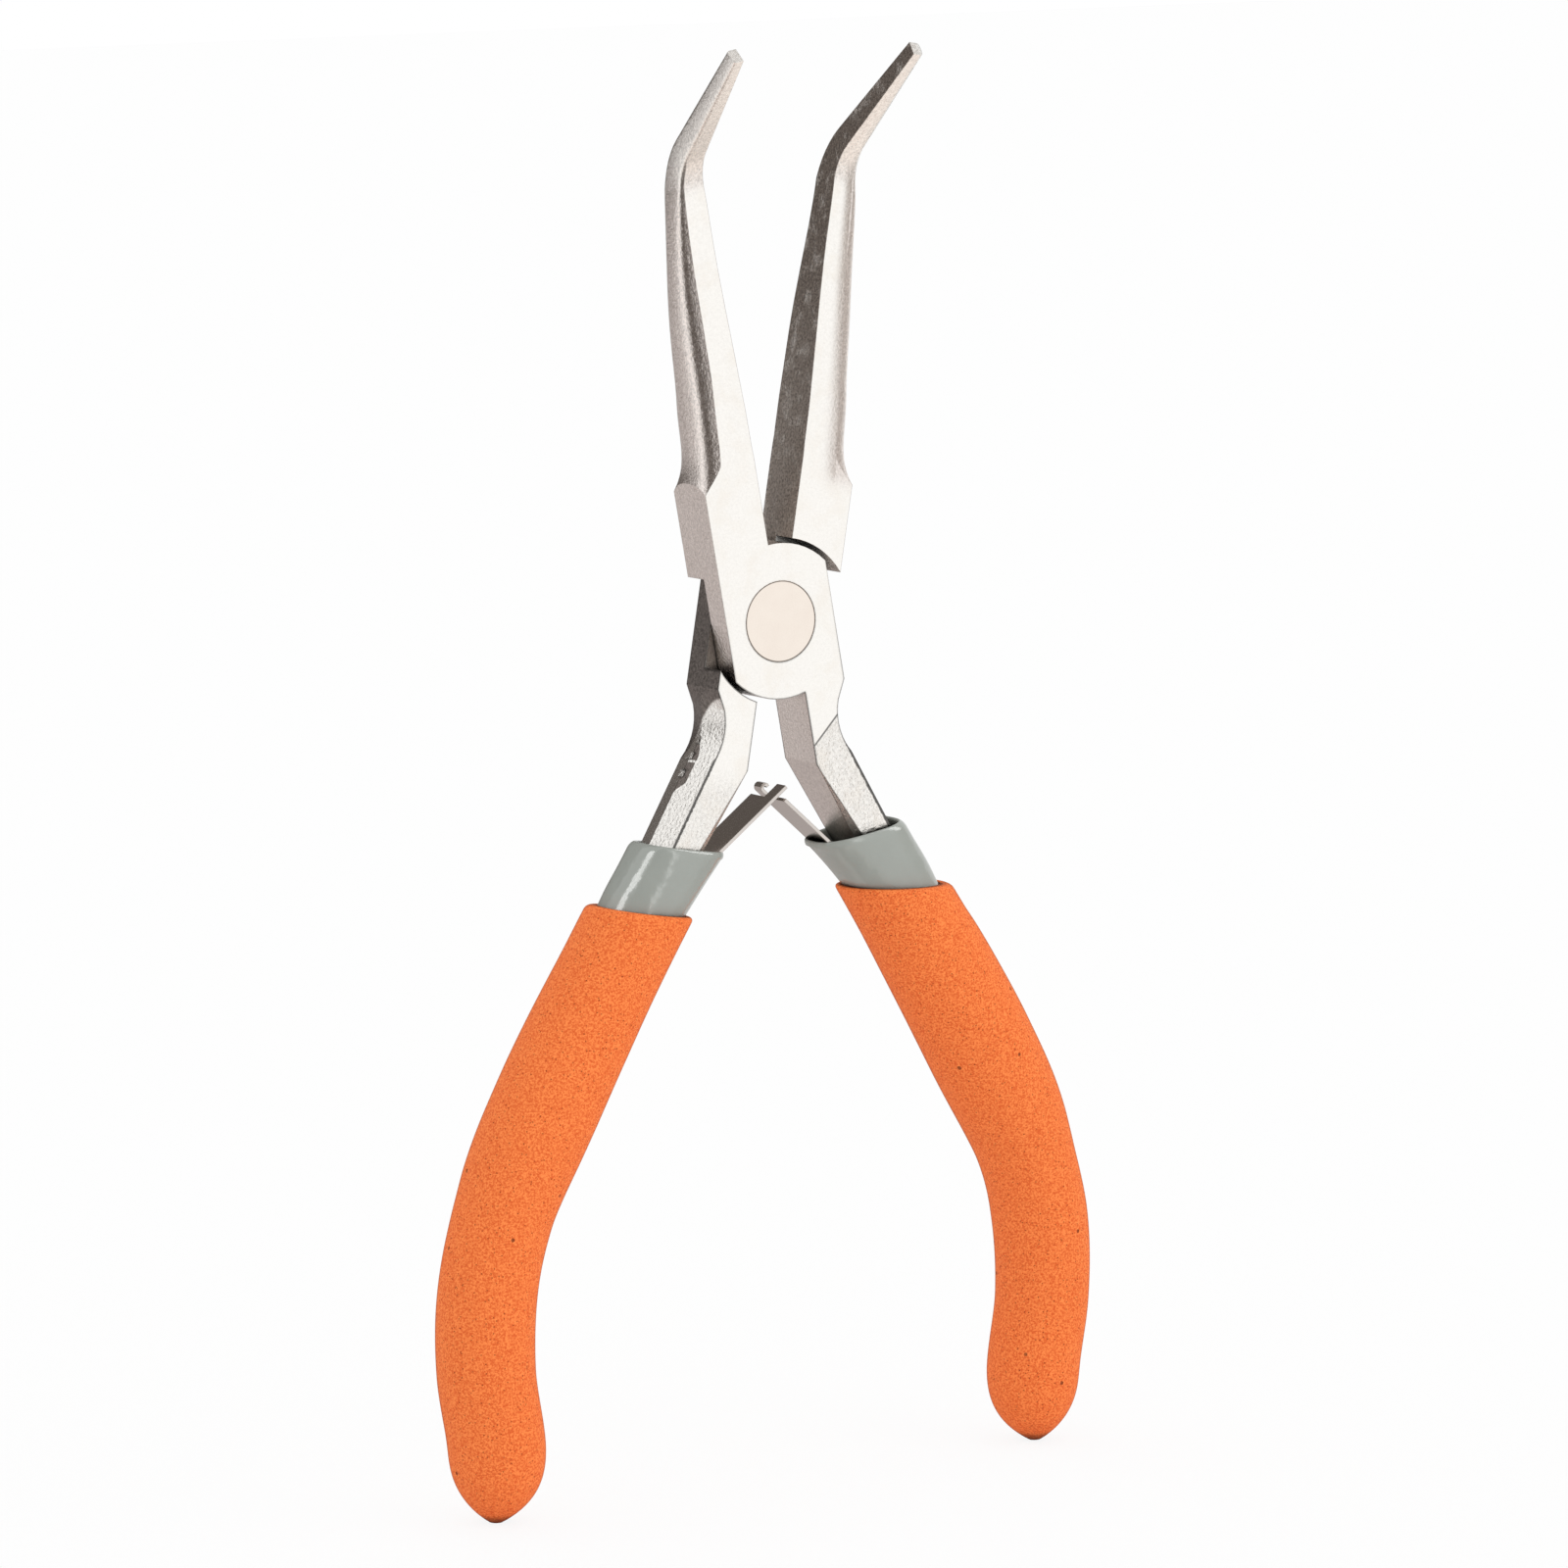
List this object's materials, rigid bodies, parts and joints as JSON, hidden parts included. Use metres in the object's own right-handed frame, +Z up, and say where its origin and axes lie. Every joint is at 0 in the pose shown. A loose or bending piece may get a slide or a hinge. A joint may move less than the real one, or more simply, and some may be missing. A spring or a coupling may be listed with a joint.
{
  "type": "bent nose pliers",
  "caption": "Small spring-return pliers with long smooth bent-nose jaws, a riveted lap joint, crossing leaf springs, dipped sleeves and foam grips.",
  "frame": {"origin": "centre of the pivot rivet's front face, flush with the front of the lap joint", "axes": "+Z up between the jaws, Y the pivot axis with the bent tips pointing to -Y, X across the two handles"},
  "size_m": [0.0796, 0.0194, 0.1513],
  "materials": {
    "lever_steel": "fine ground flats with a satin blasted flank, nickel tone",
    "rivet_steel": "ground flush with the lever",
    "spring_steel": "bright cold-rolled strip",
    "dipped_vinyl": "glossy grey dip coat",
    "grip_foam": "matte orange closed-cell foam with fine pores"
  },
  "bodies": {
    "front_half": {"front_lever": "lever_steel", "pivot_rivet": "rivet_steel", "leaf_rivet_right": "rivet_steel", "dip_sleeve_right": "dipped_vinyl", "foam_grip_right": "grip_foam"},
    "rear_half": {"rear_lever": "lever_steel", "leaf_rivet_left": "rivet_steel", "dip_sleeve_left": "dipped_vinyl", "foam_grip_left": "grip_foam"},
    "left_leaf": {"leaf_spring_left": "spring_steel"},
    "right_leaf": {"leaf_spring_right": "spring_steel"}
  },
  "joints": [
    {"name": "jaw_pivot", "type": "hinge", "parent": "front_half", "child": "rear_half", "pos_m": [0, 0.0031, 0], "axis": [0, 1, 0], "range_deg": [-19.8, 3], "stiffness_Nm_per_rad": 0.02},
    {"name": "left_leaf_flex", "type": "hinge", "parent": "rear_half", "child": "left_leaf", "pos_m": [-0.01085, 0.0031, -0.02647], "axis": [0, 1, 0], "range_deg": [-17, 2.7], "deforming": ["leaf_spring_left"]},
    {"name": "right_leaf_flex", "type": "hinge", "parent": "front_half", "child": "right_leaf", "pos_m": [0.01282, 0.0031, -0.02964], "axis": [0, 1, 0], "range_deg": [-1.9, 11.9], "deforming": ["leaf_spring_right"]}
  ],
  "couplings": [
    {"joint": "left_leaf_flex", "follows": "jaw_pivot", "ratio": 0.85},
    {"joint": "right_leaf_flex", "follows": "jaw_pivot", "ratio": -0.593}
  ]
}
